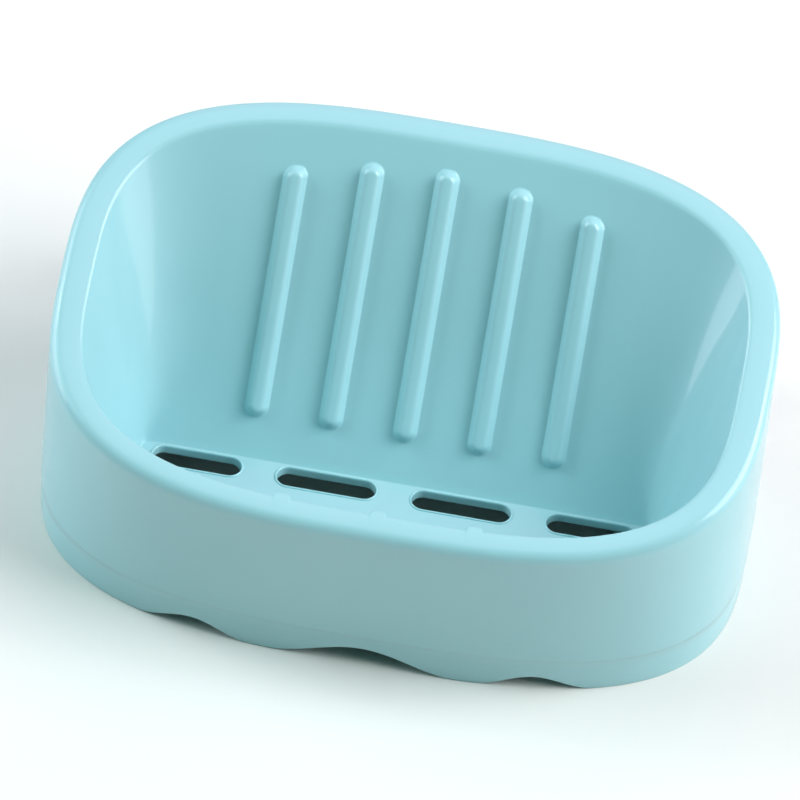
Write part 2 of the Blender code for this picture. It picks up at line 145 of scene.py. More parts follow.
# Suction cups, from the frame where it gives the size
CUP_LOW, CUP_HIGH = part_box("suction_cup_right")
CUP_PLACE = (CUP_LOW.x + CUP_HIGH.x) / 2
CUP_AXIS_HEIGHT = (CUP_LOW.z + CUP_HIGH.z) / 2 - DISH_LOW.z
CUP_RADIUS = (CUP_HIGH.x - CUP_LOW.x) / 2
CUP_LENGTH = CUP_HIGH.y - CUP_LOW.y
CUP_LIP = 0.0007
CUP_SEAL_WIDTH = 0.0016
CUP_HOLLOW = 0.0036
CUP_HOLLOW_SHARES = ((0, 1), (0.40, 0.90), (0.66, 0.68), (0.85, 0.38), (1, 0))
CUP_OUTSIDE_SHARES = ((0, 0), (0.25, 0.30), (0.50, 0.56), (0.75, 0.79), (1, 1))
HUB_RADIUS = 0.006
HUB_LENGTH = 0.0027
HUB_ROUND = 0.0008

# Studs
STUD_RADIUS = 0.00285
STUD_HEAD_RADIUS = 0.0042
STUD_HEAD_THICKNESS = 0.0015
STUD_TIP_CHAMFER = 0.0005
HEAD_ROUND = 0.0002
SEAT_GAP = 0.0003
HEAD_START = -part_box("cup_stud_right")[1].y
STUD_END = -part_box("cup_stud_right")[0].y
POCKET_FLOOR = HEAD_START - SEAT_GAP
POCKET_TOP = HEAD_START + STUD_HEAD_THICKNESS + SEAT_GAP
THREAD_PITCH = 0.0015
THREAD_DEPTH = 0.00045
THREAD_FULLNESS = 0.7
THREAD_ROW = 0.0001
THREAD_MARGIN = 0.0006
THREAD_START = CUP_LENGTH + THREAD_MARGIN

# Washers and nuts
WASHER_START = -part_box("nut_washer_right")[1].y
WASHER_END = -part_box("nut_washer_right")[0].y
WASHER_RADIUS = 0.0078
WASHER_ROUND = 0.00025
NUT_START = -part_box("thumb_nut_right")[1].y
NUT_END = -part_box("thumb_nut_right")[0].y
NUT_RADIUS = 0.0076
NUT_LOBE = 0.0007
NUT_LOBES = 6
NUT_COLLAR_RADIUS = 0.0062
NUT_COLLAR_LENGTH = 0.0014
NUT_ROUND = 0.0007
NUT_EDGE_ROUND = 0.0003
NUT_RECESS_RADIUS = 0.0056
NUT_EYE_RADIUS = 0.0042
NUT_RECESS_DEPTH = 0.0012

# Widths of the mesh's columns, which are crowded at the outline's corners and on the ribs' flanks
SIDE_COLUMN = 0.001
CORNER_CROWDING = 2.5
CORNER_SPREAD = 0.09
CORNER_SAMPLES = 3000
RIB_TOP_COLUMN = 0.0004
RIB_TOP_SHARE = 0.55
RIB_FLANK_COLUMN = 0.00015
RIB_FILLET_SHARE = 1.2
GAP_COLUMN = 0.0013

# Heights of its rows, and the stretches up the bowl's wall, at the ribs' ends, where they are fine
COARSE_ROW = 0.0013
FINE_ROW = 0.00024
RIB_FOOT_ROWS = (0.0068, 0.0112)
RIB_TOP_ROWS = (0.0525, 0.0612)

# Places of its other rings, as shares of the stretch that they run over
BAND_SHARES = (0.34, 0.67, 1)
BAND_STEP_SHARES = (0.17, 0.34, 0.5, 0.66, 0.83, 1)
SKIRT_SHARES = (0.06, 0.16, 0.3, 0.45, 0.6, 0.75, 0.88, 0.96, 1)
RIM_SHARES = (0.1, 0.25, 0.5, 0.75, 0.9, 1)
BOWL_BACK_SHARES = (0, 0.2, 0.4, 0.6, 0.8, 1)
SKIRT_INSIDE_SHARES = (0, 0.25, 0.5, 0.75)

# Flat ring beside a floor's edge, which keeps the edge crisp in the shading
HOLD_WIDTH = 0.00005

# Steps round curves and corners
RIM_ROUND_STEPS = 8
RIM_OUTER_ROUND_STEPS = 10
FOOT_ROUND_STEPS = 4
SLOT_END_STEPS = 20
SLOT_LIP_STEPS = 10
BOSS_SEGMENTS = 96
BOSS_ROUND_STEPS = 4
NOTCH_STEPS = 32
TURN_SEGMENTS = 96
CURVE_STEPS = 6
CORNER_STEPS = 4
BEAD_STEPS = 12
FILLET_STEPS = 4
SHARP_DEGREES = 40
WELD_DISTANCE = 1e-7
NEARLY_ZERO = 1e-9

# What the triangulation keeps: the triangles inside the borders
INSIDE_BORDERS = 1

# Sockets of a Mix node that mixes colours
MIX_SHARE = 0
MIX_FIRST = 6
MIX_SECOND = 7
MIX_RESULT = 2

# Finishes: colours as linear light, noises as a scale and a detail, and depths of their relief
NOISE_LOW = 0.3
NOISE_HIGH = 0.7
DISH_COLOURS = ((0.350, 0.615, 0.650), (0.335, 0.600, 0.635))
DISH_CLOUD = (26, 3)
DISH_ROUGHNESS = (0.38, 0.44)
DISH_SMEAR = (90, 4)
DISH_RIPPLE = (55, 1)
DISH_RIPPLE_DEPTH = 0.00012
DISH_GRAIN = (2600, 2)
DISH_GRAIN_DEPTH = 0.000006
DISH_IOR = 1.49
DISH_COAT = 0.6
DISH_COAT_ROUGHNESS = 0.09
VINYL_COLOURS = ((0.82, 0.90, 0.93), (0.88, 0.94, 0.96))
VINYL_HAZE = (160, 3)
VINYL_ROUGHNESS = (0.08, 0.16)
VINYL_SMEAR = (240, 3)
VINYL_RIPPLE = (420, 2)
VINYL_RIPPLE_DEPTH = 0.00002
VINYL_TRANSMISSION = 0.92
VINYL_IOR = 1.52
STUD_COLOURS = ((0.80, 0.81, 0.80), (0.76, 0.77, 0.75))
WASHER_COLOURS = ((0.82, 0.83, 0.82), (0.78, 0.79, 0.78))
NUT_COLOURS = ((0.83, 0.85, 0.85), (0.79, 0.81, 0.81))
NYLON_CLOUD = (300, 3)
NYLON_ROUGHNESS = (0.36, 0.46)
NYLON_SMEAR = (700, 3)
NYLON_GRAIN = (2200, 2)
NYLON_GRAIN_DEPTH = 0.000008
GROUND_COLOURS = ((0.85, 0.80, 0.76), (0.83, 0.78, 0.74))
GROUND_CLOUD = (6, 2)
GROUND_ROUGHNESS = 0.9

# Studio: each light has a name, an azimuth, an elevation, a size, watts and a colour
GROUND_REACH = 2.0
WORLD_COLOUR = (1.0, 1.0, 1.0)
WORLD_STRENGTH = 0.01
LIGHT_DISTANCE = 1.5
LIGHTS = (
    ("left", -97, 23, 1.2, 14.5, (0.82, 0.88, 1.0)),
    ("left_high", -94, 45, 1.2, 7, (0.6, 0.98, 0.92)),
    ("right", 92, 45, 1.2, 21.5, (0.87, 0.95, 1.0)),
    ("right_low", 90, 25, 1.2, 8.3, (0.9, 0.97, 1.0)),
    ("front_high", 0, 60, 1.2, 1.3, (0.15, 1.0, 0.8)),
    ("top", 180, 82, 0.9, 3.4, (0.75, 0.79, 0.98)),
    ("back", 180, 40, 1.2, 3.4, (1.0, 0.3, 0.4)),
    ("glint_left", -105, 45, 0.15, 1.0, (1.0, 1.0, 1.0)),
    ("glint_right", 105, 50, 0.15, 1.0, (1.0, 1.0, 1.0)),
)

# Camera, fitted to the photograph
CAMERA_AZIMUTH = 5.2
CAMERA_ELEVATION = 47.0
CAMERA_ROLL = 6.06
CAMERA_DISTANCE = 2.4
CAMERA_LENS = 576.3
CAMERA_SENSOR = 36
CAMERA_TARGET_HEIGHT = 0.035
CAMERA_SHIFT_RIGHT = 0.00201
CAMERA_SHIFT_UP = 0.0041
CAMERA_REACH = 20


def rim_height(y):
    """Height of the sloping rim's plane over places along Y."""
    return FRONT_HEIGHT + (BACK_HEIGHT - FRONT_HEIGHT) * (y + HALF_DEPTH) / (2 * HALF_DEPTH)


def arch(x, place, half_width, height):
    """Height of one smooth arch over places along X."""
    reach = np.minimum(np.abs(x - place) / half_width, 1)
    return height * (1 + np.cos(math.pi * reach)) / 2


def foot_height(x, y):
    """Height of the skirt's foot, which is cut into three arches at the front."""
    middle = arch(x, 0, MIDDLE_ARCH_HALF_WIDTH, MIDDLE_ARCH_HEIGHT)
    side = arch(np.abs(x), SIDE_ARCH_PLACE, SIDE_ARCH_HALF_WIDTH, SIDE_ARCH_HEIGHT)
    return np.where(y > 0, 0, middle + side)


def outline(half_x, half_y, power, across, along):
    """Points of a rounded oblong for the cosines and sines of running angles."""
    x = half_x * np.sign(across) * np.abs(across) ** (2 / power)
    y = half_y * np.sign(along) * np.abs(along) ** (2 / power)
    return x, y


def smooth_step(low, high, value):
    """Smooth rise from 0 to 1 while a value goes from low to high."""
    share = np.clip((value - low) / (high - low), 0, 1)
    return share * share * (3 - 2 * share)


def rib_stations(half_width, fillet, places):
    """Places along X across a row of ribs, close together on their flanks."""
    reach = half_width + fillet * RIB_FILLET_SHARE
    inner = half_width * RIB_TOP_SHARE
    found = []
    for place in places:
        top = np.arange(-inner, inner + RIB_TOP_COLUMN / 2, 2 * inner / round(2 * inner / RIB_TOP_COLUMN))
        flank = np.linspace(inner, reach, round((reach - inner) / RIB_FLANK_COLUMN) + 1)[1:]
        found += list(place + top) + list(place + flank) + list(place - flank)
    found = sorted(found)
    filled = []
    for before, after in zip(found, found[1:]):
        steps = max(1, round((after - before) / GAP_COLUMN))
        filled += list(np.linspace(before, after, steps, endpoint=False))
    return np.array(filled + [found[-1]])


def half_ring_angles(stations):
    """Running angles from 0 to pi: fine over the stations, even along the outline elsewhere."""
    mouth = HALF_WIDTH - RIM_SIDE_WIDTH
    middle = np.arccos(np.sign(stations) * np.abs(stations / mouth) ** (MOUTH_POWER / 2))[::-1]
    turns = np.linspace(0, middle[0], CORNER_SAMPLES)
    x, y = outline(HALF_WIDTH, HALF_DEPTH, OUTLINE_POWER, np.cos(turns), np.sin(turns))
    crowding = 1 + CORNER_CROWDING * np.exp(-((turns - math.pi / 4) / CORNER_SPREAD) ** 2)
    length = np.concatenate(([0], np.cumsum(np.hypot(np.diff(x), np.diff(y)) * crowding[1:])))
    count = round(length[-1] / SIDE_COLUMN)
    corner = np.interp(np.linspace(0, length[-1], count + 1), length, turns)
    return np.concatenate((corner[:-1], middle, math.pi - corner[1:-1][::-1]))


RIM_CROWN = math.radians(RIM_CROWN_DEGREES)
RIB_PLACES = [(k - (RIB_COUNT - 1) / 2) * RIB_PITCH for k in range(RIB_COUNT)]
NUB_PLACES = [(k - (NUB_COUNT - 1) / 2) * NUB_PITCH for k in range(NUB_COUNT)]
BACK_ANGLES = half_ring_angles(rib_stations(RIB_HALF_WIDTH, RIB_FILLET, RIB_PLACES))
FRONT_ANGLES = half_ring_angles(rib_stations(NUB_HALF_WIDTH, NUB_FILLET, NUB_PLACES))
ANGLES = np.concatenate((BACK_ANGLES, math.pi + FRONT_ANGLES))
ACROSS, ALONG = np.cos(ANGLES), np.sin(ANGLES)
ACROSS[np.abs(ACROSS) < NEARLY_ZERO] = 0
ALONG[np.abs(ALONG) < NEARLY_ZERO] = 0


def skirt_ring(inset):
    """Places of the dish's outline in plan, drawn in by an inset."""
    return outline(HALF_WIDTH - inset, HALF_DEPTH - inset, OUTLINE_POWER, ACROSS, ALONG)


def mouth_ring():
    """Points of the rim's inner edge, with its round left out."""
    x, y = outline(HALF_WIDTH - RIM_SIDE_WIDTH, HALF_DEPTH - RIM_WIDTH, MOUTH_POWER, ACROSS, ALONG)
    return np.stack((x, y, rim_height(y)), 1)


def floor_ring(inset=0):
    """Edge of the bowl's floor, paired with the rim so that the ribs' columns run straight.

    Past the floor's corners, each column goes to the floor's point in the same direction as on the rim.
    """
    half_y = (FLOOR_BACK - FLOOR_FRONT) / 2
    mouth_x = np.abs(ACROSS) ** (2 / MOUTH_POWER)
    mouth_y = np.abs(ALONG) ** (2 / MOUTH_POWER)
    straight = np.arctan(mouth_x * (HALF_WIDTH - RIM_SIDE_WIDTH) / FLOOR_HALF_WIDTH)
    turn = np.maximum(straight, np.arctan2(mouth_x, mouth_y))
    across, along = np.sin(turn), np.abs(np.cos(turn))
    power = np.where(ALONG > 0, FLOOR_BACK_POWER, FLOOR_FRONT_POWER)
    reach = (across ** power + along ** power) ** (-1 / power)
    x = (FLOOR_HALF_WIDTH - inset) * reach * across * np.sign(ACROSS)
    y = (half_y - inset) * reach * along * np.sign(ALONG) + (FLOOR_BACK + FLOOR_FRONT) / 2
    return np.stack((x, y, np.full_like(x, FLOOR_HEIGHT)), 1)


def unit(vectors):
    """The same directions at length 1."""
    return vectors / np.linalg.norm(vectors, axis=1)[:, None]


def ring_run(ring):
    """Direction along a ring at each of its points."""
    return np.roll(ring, -1, 0) - np.roll(ring, 1, 0)


MOUTH = mouth_ring()
FLOOR = floor_ring()
WALL_LENGTH = np.linalg.norm(MOUTH - FLOOR, axis=1)


def rounded(points, radii, steps):
    """Profile with its corners rounded, each by its own radius, by quadratic curves."""
    found = [points[0]]
    for before, corner, after, radius in zip(points, points[1:], points[2:], radii):
        if radius == 0:
            found.append(corner)
            continue
        here = Vector(corner)
        start = here + (Vector(before) - here).normalized() * radius
        end = here + (Vector(after) - here).normalized() * radius
        for k in range(steps + 1):
            share = k / steps
            spot = start * (1 - share) ** 2 + here * (2 * share * (1 - share)) + end * share ** 2
            found.append(tuple(spot))
    found.append(points[-1])
    return found


def bead_profile(half_width, crown, proud, shoulder, fillet):
    """Distances from a bead's axis and the heights there: flat crown, sloping flank, filleted base."""
    corners = ((0, proud), (crown, proud), (half_width, 0), (half_width + 2 * fillet, 0))
    return np.array(rounded(corners, (shoulder, fillet), BEAD_STEPS)).T


RIB_PROFILE = bead_profile(RIB_HALF_WIDTH, RIB_CROWN_HALF_WIDTH, RIB_PROUD, RIB_SHOULDER, RIB_FILLET)
NUB_PROFILE = bead_profile(NUB_HALF_WIDTH, NUB_CROWN_HALF_WIDTH, NUB_PROUD, NUB_SHOULDER, NUB_FILLET)


def capsule(x, v, place, start, end, half_width):
    """Distance from the axis of a bead that runs from start to end."""
    past = np.maximum(np.maximum(start + half_width - v, v - (end - half_width)), 0)
    return np.hypot(x - place, past)


def relief(x, distance_up, whole, at_back):
    """Height of the ribs and nubs over places on the bowl's wall."""
    height = np.zeros_like(x)
    if at_back:
        for place in RIB_PLACES:
            order = abs(place / RIB_PITCH)
            end = whole - RIB_TOP_MARGIN - RIB_ARCH_DROP * order ** RIB_ARCH_POWER
            away = capsule(x, distance_up, place, RIB_FOOT, end, RIB_HALF_WIDTH)
            height = np.maximum(height, np.interp(away, *RIB_PROFILE))
    else:
        for place in NUB_PLACES:
            away = capsule(x, distance_up, place, NUB_FOOT, whole + NUB_HALF_WIDTH, NUB_HALF_WIDTH)
            height = np.maximum(height, np.interp(away, *NUB_PROFILE))
    return height


def wall_shares():
    """Shares of the way up the wall at which its rows run, close together at the ribs' ends."""
    whole = WALL_LENGTH[np.argmax(MOUTH[:, 1])]
    marks = (FLOOR_FILLET, *RIB_FOOT_ROWS, *RIB_TOP_ROWS, whole - RIM_INNER_ROUND)
    row_steps = (COARSE_ROW, FINE_ROW, COARSE_ROW, FINE_ROW, COARSE_ROW / 2)
    rows = []
    for low, high, step in zip(marks, marks[1:], row_steps):
        rows += list(np.linspace(low, high, max(1, round((high - low) / step)), endpoint=False))
    return np.array(rows[1:]) / whole


def bezier(first, middle, last, steps):
    """Rings round a corner, without its first and last."""
    shares = [k / steps for k in range(1, steps)]
    return [first * (1 - s) ** 2 + middle * (2 * s * (1 - s)) + last * s ** 2 for s in shares]


def level(x, y, z):
    """Points of a ring from its places along X, Y and Z."""
    return np.stack((x, y, np.broadcast_to(z, x.shape)), 1)


def skirt_rings():
    """Rings from the foot's inner edge round the foot, up the outside and over the rim's outer round."""
    foot_inset = SKIRT_DRAFT + BAND_STEP
    inner_inset = SKIRT_WALL + SKIRT_DRAFT
    under = ((inner_inset, FOOT_ROUND), (inner_inset - FOOT_ROUND, 0), (foot_inset + FOOT_ROUND, 0))
    rings = []
    for inset, lift in under:
        x, y = skirt_ring(inset)
        rings.append(level(x, y, foot_height(x, y) + lift))
    x, y = skirt_ring(foot_inset)
    low = level(x, y, foot_height(x, y) + FOOT_ROUND)
    corner = level(x, y, foot_height(x, y))
    rings += bezier(rings[-1], corner, low, FOOT_ROUND_STEPS)
    rings.append(low)
    band_low = BAND_HEIGHT - BAND_BEVEL
    for share in BAND_SHARES:
        rings.append(level(x, y, low[:, 2] + (band_low - low[:, 2]) * share))
    for share in BAND_STEP_SHARES:
        height = band_low + 2 * BAND_BEVEL * share
        step = BAND_STEP * (1 - float(smooth_step(0, 1, np.array(share))))
        x, y = skirt_ring(SKIRT_DRAFT * (1 - height / FRONT_HEIGHT) + step)
        rings.append(level(x, y, height))
    start = BAND_HEIGHT + BAND_BEVEL
    x, y = skirt_ring(0)
    top = rim_height(y) - RIM_OUTER_ROUND
    for share in SKIRT_SHARES:
        height = start + (top - start) * share
        inset = np.maximum(SKIRT_DRAFT * (1 - height / FRONT_HEIGHT), 0)
        shift = inset / HALF_WIDTH
        rings.append(level(x * (1 - shift), y * (1 - inset / HALF_DEPTH), height))
    for k in range(1, RIM_OUTER_ROUND_STEPS + 1):
        turn = (math.pi / 2 - RIM_CROWN) * k / RIM_OUTER_ROUND_STEPS
        x, y = skirt_ring(RIM_OUTER_ROUND * (1 - math.cos(turn)))
        rings.append(level(x, y, rim_height(y) - RIM_OUTER_ROUND * (1 - math.sin(turn))))
    return rings


def rim_rings():
    """Rings over the rim's top and its inner round, to the start of the bowl's wall."""
    down = (FLOOR - MOUTH) / WALL_LENGTH[:, None]
    inward = unit(MOUTH * (-1, -1, 0))
    back = MOUTH - inward * RIM_INNER_ROUND
    swell = relief(MOUTH[:, 0], WALL_LENGTH, WALL_LENGTH, False) * (ALONG < 0)
    nubs = unit(np.cross(MOUTH - FLOOR, ring_run(MOUTH))) * swell[:, None]
    back[:, :2] += nubs[:, :2]
    back[:, 2] = rim_height(back[:, 1])
    x, y = skirt_ring(RIM_OUTER_ROUND * (1 - math.sin(RIM_CROWN)))
    outer = level(x, y, rim_height(y) - RIM_OUTER_ROUND * (1 - math.cos(RIM_CROWN)))
    rise = np.linalg.norm(back - outer, axis=1) * math.tan(RIM_CROWN)
    rings = []
    for share in RIM_SHARES:
        ring = outer + (back - outer) * share
        ring[:, 2] += rise * share * (1 - share)
        rings.append(ring)
    corner = MOUTH + nubs
    corner[:, 2] = rim_height(corner[:, 1]) - RIM_INNER_ROUND * math.tan(RIM_CROWN)
    low = MOUTH + down * RIM_INNER_ROUND + nubs
    return rings + bezier(back, corner, low, RIM_ROUND_STEPS) + [low]


def hollow_corners(ring, share):
    """A ring of the bowl's wall with its back corners rounded by averages along its length."""
    reach = HOLLOW_REACH * math.sin(math.pi * share ** HOLLOW_LEAN) ** HOLLOW_FULLNESS
    reach = reach * smooth_step(HOLLOW_START, HOLLOW_END, np.abs(ring[:, 0]))
    reach = reach * smooth_step(0, HOLLOW_SIDE_SHARE, ALONG)
    closed = np.vstack((ring, ring[:1]))
    steps = np.linalg.norm(np.diff(closed, axis=0), axis=1)
    length = np.concatenate(([0], np.cumsum(steps)))
    halves = (closed[1:] + closed[:-1]) / 2 * steps[:, None]
    total = np.vstack((np.zeros(3), np.cumsum(halves, axis=0)))
    before, after = length[:-1] - reach, length[:-1] + reach
    span = [np.interp(after, length, total[:, k]) - np.interp(before, length, total[:, k]) for k in range(3)]
    averages = np.stack(span, 1) / np.maximum(2 * reach, NEARLY_ZERO)[:, None]
    return np.where((reach > HOLLOW_LEAST_REACH)[:, None], averages, ring)


def wall_rings():
    """Rings down the bowl's wall, with the ribs raised on it, and round into the floor."""
    across = ring_run(MOUTH)
    across_floor = ring_run(FLOOR)
    back_side = ALONG > 0
    rings = []
    for share in wall_shares()[::-1]:
        place = FLOOR + (MOUTH - FLOOR) * share
        along = across_floor + (across - across_floor) * share
        normal = unit(np.cross(MOUTH - FLOOR, along))
        up = WALL_LENGTH * share
        height = np.zeros(len(ANGLES))
        for side, chosen in ((True, back_side), (False, ~back_side)):
            height[chosen] = relief(place[chosen, 0], up[chosen], WALL_LENGTH[chosen], side)
        rings.append(hollow_corners(place, share) + normal * height[:, None])
    high = FLOOR + (MOUTH - FLOOR) * (FLOOR_FILLET / WALL_LENGTH)[:, None]
    low = floor_ring(FLOOR_FILLET)
    rings.append(high)
    rings += bezier(high, FLOOR, low, FILLET_STEPS)
    rings.append(low)
    rings.append(floor_ring(FLOOR_FILLET + HOLD_WIDTH))
    return rings


def cut_line(start, end, height_of):
    """Points where the lines through two rings meet the surface at height_of(y)."""
    run = end - start
    gap_start = start[:, 2] - height_of(start[:, 1])
    gap_run = run[:, 2] - (height_of(end[:, 1]) - height_of(start[:, 1]))
    return start - run * (gap_start / gap_run)[:, None]


def under_rings():
    """Rings from the floor's underside up behind the bowl's wall and down the skirt's inside."""
    outward = -unit(np.cross(MOUTH - FLOOR, ring_run(MOUTH) + ring_run(FLOOR)))
    low = FLOOR + outward * BOWL_WALL
    high = MOUTH + outward * BOWL_WALL
    floor_edge = cut_line(low, high, lambda y: np.full_like(y, FLOOR_HEIGHT - FLOOR_THICKNESS))
    crest = cut_line(low, high, lambda y: rim_height(y) - RIM_THICKNESS)
    x, y = skirt_ring(SKIRT_WALL)
    top = level(x, y, rim_height(y) - RIM_THICKNESS)
    x, y = skirt_ring(SKIRT_WALL + SKIRT_DRAFT)
    foot = level(x, y, foot_height(x, y) + FOOT_ROUND)
    rings = [floor_edge + (crest - floor_edge) * share for share in BOWL_BACK_SHARES]
    return rings + [top + (foot - top) * share for share in SKIRT_INSIDE_SHARES]


def add_rings(mesh, rings):
    """New corners of a mesh for the points of each ring."""
    return [[mesh.verts.new(point) for point in ring] for ring in rings]


def join_rings(mesh, levels):
    """Faces between rings of corners, one after another."""
    for low, high in zip(levels, levels[1:]):
        count = len(low)
        for k in range(count):
            after = (k + 1) % count
            mesh.faces.new((low[k], low[after], high[after], high[k]))


def slot_ring(place, half_length, half_width, height):
    """Points round a drain slot."""
    points = []
    for side in (1, -1):
        for k in range(SLOT_END_STEPS + 1):
            turn = math.pi * (k / SLOT_END_STEPS - 1 / 2)
            reach = half_length - SLOT_HALF_WIDTH + half_width * math.cos(turn)
            points.append((place + side * reach, SLOT_PLACE + side * half_width * math.sin(turn), height))
    return points


def slot_rings(place, half_length):
    """Rings from the floor's top over a slot's raised lip, down its wall and out to the underside."""
    under = FLOOR_HEIGHT - FLOOR_THICKNESS
    levels = [(SLOT_LIP_WIDTH + HOLD_WIDTH, FLOOR_HEIGHT)]
    for k in range(SLOT_LIP_STEPS + 1):
        turn = math.pi * k / SLOT_LIP_STEPS
        fall = SLOT_LIP_HEIGHT if turn < math.pi / 2 else SLOT_LIP_HEIGHT + SLOT_LIP_DROP
        flare = SLOT_LIP_WIDTH * (1 + math.cos(turn)) / 2
        levels.append((flare, FLOOR_HEIGHT + SLOT_LIP_HEIGHT - fall * (1 - math.sin(turn))))
    levels.append((0, under + SLOT_UNDER_ROUND))
    levels.append((SLOT_UNDER_ROUND, under))
    return [slot_ring(place, half_length, SLOT_HALF_WIDTH + flare, height) for flare, height in levels]


def spread_from(seed, triangles, borders):
    """Indices of the triangles reached from a seed without crossing a border."""
    sharing = {}
    for index, triangle in enumerate(triangles):
        for edge in zip(triangle, triangle[1:] + triangle[:1]):
            sharing.setdefault(frozenset(edge), []).append(index)
    found, waiting = {seed}, [seed]
    while waiting:
        triangle = triangles[waiting.pop()]
        for edge in zip(triangle, triangle[1:] + triangle[:1]):
            if frozenset(edge) in borders:
                continue
            for index in sharing[frozenset(edge)]:
                if index not in found:
                    found.add(index)
                    waiting.append(index)
    return found


def flat_floor(mesh, edge, holes):
    """Flat faces between the floor's edge and the edges of its slots."""
    corners, borders = [], []
    for border in [edge] + holes:
        start = len(corners)
        corners += border
        borders += [(start + k, start + (k + 1) % len(border)) for k in range(len(border))]
    places = [Vector((corner.co.x, corner.co.y)) for corner in corners]
    _, _, faces, sources, _, _ = delaunay_2d_cdt(places, borders, [], INSIDE_BORDERS, WELD_DISTANCE, True)
    triangles = [tuple(sources[k][0] for k in face) for face in faces]
    areas = [area_tri(*(places[k] for k in triangle)) for triangle in triangles]
    fences = {frozenset(pair) for pair in borders}
    for index in spread_from(areas.index(max(areas)), triangles, fences):
        mesh.faces.new([corners[k] for k in triangles[index]])


def new_object(name, mesh):
    """Object of a finished bmesh, with its faces turned outwards."""
    bmesh.ops.recalc_face_normals(mesh, faces=mesh.faces)
    data = bpy.data.meshes.new(name)
    mesh.to_mesh(data)
    mesh.free()
    thing = bpy.data.objects.new(name, data)
    bpy.context.scene.collection.objects.link(thing)
    return thing


def dish_body():
    """Skirt, rim, bowl and floor as one closed surface."""
    mesh = bmesh.new()
    rings = under_rings() + skirt_rings() + rim_rings() + wall_rings()
    levels = add_rings(mesh, rings)
    join_rings(mesh, levels)
    top_holes, under_holes = [], []
    for side in (-1, 1):
        for centre, half_length in (INNER_SLOT, OUTER_SLOT):
            slot_levels = add_rings(mesh, slot_rings(side * centre, half_length))
            join_rings(mesh, slot_levels)
            top_holes.append(slot_levels[0])
            under_holes.append(slot_levels[-1])
    flat_floor(mesh, levels[-1], top_holes)
    flat_floor(mesh, levels[0], under_holes)
    return new_object("dish", mesh)


def capped_rings(name, rings):
    """Closed object over rings with the same number of points."""
    mesh = bmesh.new()
    levels = add_rings(mesh, rings)
    join_rings(mesh, levels)
    mesh.faces.new(levels[0])
    mesh.faces.new(levels[-1])
    return new_object(name, mesh)


def outline_y(x, inset):
    """Back edge of the skirt's outline at a place along X, at an inset."""
    half_x, half_y = HALF_WIDTH - inset, HALF_DEPTH - inset
    return half_y * (1 - abs(x / half_x) ** OUTLINE_POWER) ** (1 / OUTLINE_POWER)


BOSS_FRONT = outline_y(CUP_PLACE + BOSS_RADIUS, SKIRT_WALL + SKIRT_DRAFT) - BOSS_PROUD


def boss(side):
    """Round boss on the skirt's back, flat inside and outside, with rounded edges."""
    levels = []
    for k in range(BOSS_ROUND_STEPS + 1):
        turn = math.pi / 2 * k / BOSS_ROUND_STEPS
        inset = BOSS_ROUND * (1 - math.sin(turn))
        levels.append((BOSS_FRONT + BOSS_ROUND * (1 - math.cos(turn)), inset))
    levels += [(BOSS_FRONT + HALF_DEPTH - y, inset) for y, inset in reversed(levels)]
    rings = []
    for y, inset in levels:
        ring = []
        for k in range(BOSS_SEGMENTS):
            turn = 2 * math.pi * k / BOSS_SEGMENTS
            reach = BOSS_RADIUS - inset
            x = side * CUP_PLACE + reach * math.cos(turn)
            ring.append((x, y, CUP_AXIS_HEIGHT + reach * math.sin(turn)))
        rings.append(ring)
    return capped_rings("boss_form", rings)


def notch(side):
    """Cutter for a notch that drops over a stud, open at the foot, with a small bevel at both ends."""
    levels = (
        (BOSS_FRONT - CUT_OVERRUN, BORE_RADIUS + NOTCH_BEVEL),
        (BOSS_FRONT, BORE_RADIUS + NOTCH_BEVEL),
        (BOSS_FRONT + NOTCH_BEVEL, BORE_RADIUS),
        (HALF_DEPTH - NOTCH_BEVEL, BORE_RADIUS),
        (HALF_DEPTH, BORE_RADIUS + NOTCH_BEVEL),
        (HALF_DEPTH + CUT_OVERRUN, BORE_RADIUS + NOTCH_BEVEL),
    )
    rings = []
    for y, radius in levels:
        ring = [(side * CUP_PLACE + radius, y, -CUT_OVERRUN)]
        for k in range(NOTCH_STEPS + 1):
            turn = math.pi * k / NOTCH_STEPS
            x = side * CUP_PLACE + radius * math.cos(turn)
            ring.append((x, y, CUP_AXIS_HEIGHT + radius * math.sin(turn)))
        ring.append((side * CUP_PLACE - radius, y, -CUT_OVERRUN))
        rings.append(ring)
    return capped_rings("notch_form", rings)


def combine(target, tools, operation):
    """Join tools to the target, or cut them from it, and delete them."""
    for tool in tools:
        change = target.modifiers.new(tool.name, "BOOLEAN")
        change.operation = operation
        change.solver = "EXACT"
        change.object = tool
    graph = bpy.context.evaluated_depsgraph_get()
    shaped = bpy.data.meshes.new_from_object(target.evaluated_get(graph))
    target.modifiers.clear()
    target.data = shaped
    for tool in tools:
        bpy.data.objects.remove(tool, do_unlink=True)


def smooth(thing):
    """Shade a piece smooth, with its sharp edges kept."""
    thing.data.shade_smooth()
    thing.data.set_sharp_from_angle(angle=math.radians(SHARP_DEGREES))


def dish():
    """The whole moulding, with its bosses and notches."""
    thing = dish_body()
    combine(thing, [boss(-1), boss(1)], "UNION")
    combine(thing, [notch(-1), notch(1)], "DIFFERENCE")
    smooth(thing)
    thing.location = DISH_PLACE
    return thing


def turned_ring(radius_at, height):
    """Points round the Z axis, at the radius that a function gives for each turn."""
    turns = [2 * math.pi * k / TURN_SEGMENTS for k in range(TURN_SEGMENTS)]
    return [(radius_at(turn) * math.cos(turn), radius_at(turn) * math.sin(turn), height) for turn in turns]


def circle(radius, height):
    """Points round the Z axis at one radius."""
    return turned_ring(lambda turn: radius, height)


